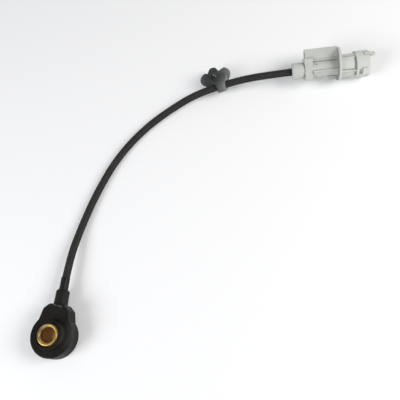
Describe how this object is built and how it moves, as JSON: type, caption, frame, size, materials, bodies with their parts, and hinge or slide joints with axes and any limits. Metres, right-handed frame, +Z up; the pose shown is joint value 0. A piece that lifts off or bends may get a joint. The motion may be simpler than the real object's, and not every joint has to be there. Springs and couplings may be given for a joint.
{
  "type": "engine knock sensor",
  "caption": "Round piezo knock sensor with a brass mounting sleeve, a short curved lead with a panel clip, and a sealed two-pole plug.",
  "frame": {"origin": "centre of the mounting bore at the sleeve's contact face, on the surface that the part lies on", "axes": "+Z up along the bore, +Y along the neck that the cable leaves by, +X to the right"},
  "size_m": [0.1977, 0.2128, 0.0215],
  "materials": {
    "brass": "turned, bright",
    "black_nylon": "fine moulded texture",
    "clear_film": "smooth film",
    "tinned_brass": "tin plated",
    "piezo_ceramic": "ground ceramic",
    "steel": "turned",
    "spring_steel": "blued",
    "core_red": "smooth",
    "core_black": "smooth",
    "cable_jacket": "semi-matt extruded",
    "shrink_tube": "satin",
    "clip_nylon": "semi-matt moulded",
    "grey_nylon": "semi-matt moulded",
    "seal_rubber": "smooth",
    "lock_nylon": "semi-matt moulded"
  },
  "bodies": {
    "root": {"brass_sleeve": "brass", "sensor_housing": "black_nylon", "insulating_tube": "clear_film", "lower_insulating_washer": "clear_film", "upper_insulating_washer": "clear_film", "lower_contact_disc": "tinned_brass", "upper_contact_disc": "tinned_brass", "piezo_ring": "piezo_ceramic", "seismic_mass": "steel", "disc_spring": "spring_steel", "retaining_nut": "steel", "sensor_core_a": "core_red", "sensor_core_b": "core_black", "cable": "cable_jacket", "cable_sleeve": "shrink_tube", "cable_clip": "clip_nylon", "plug_housing": "grey_nylon", "rear_cap": "grey_nylon", "cable_seal": "seal_rubber", "plug_core_a": "core_red", "plug_core_b": "core_black", "terminal_a": "tinned_brass", "terminal_b": "tinned_brass", "terminal_lock": "lock_nylon"}
  },
  "joints": []
}
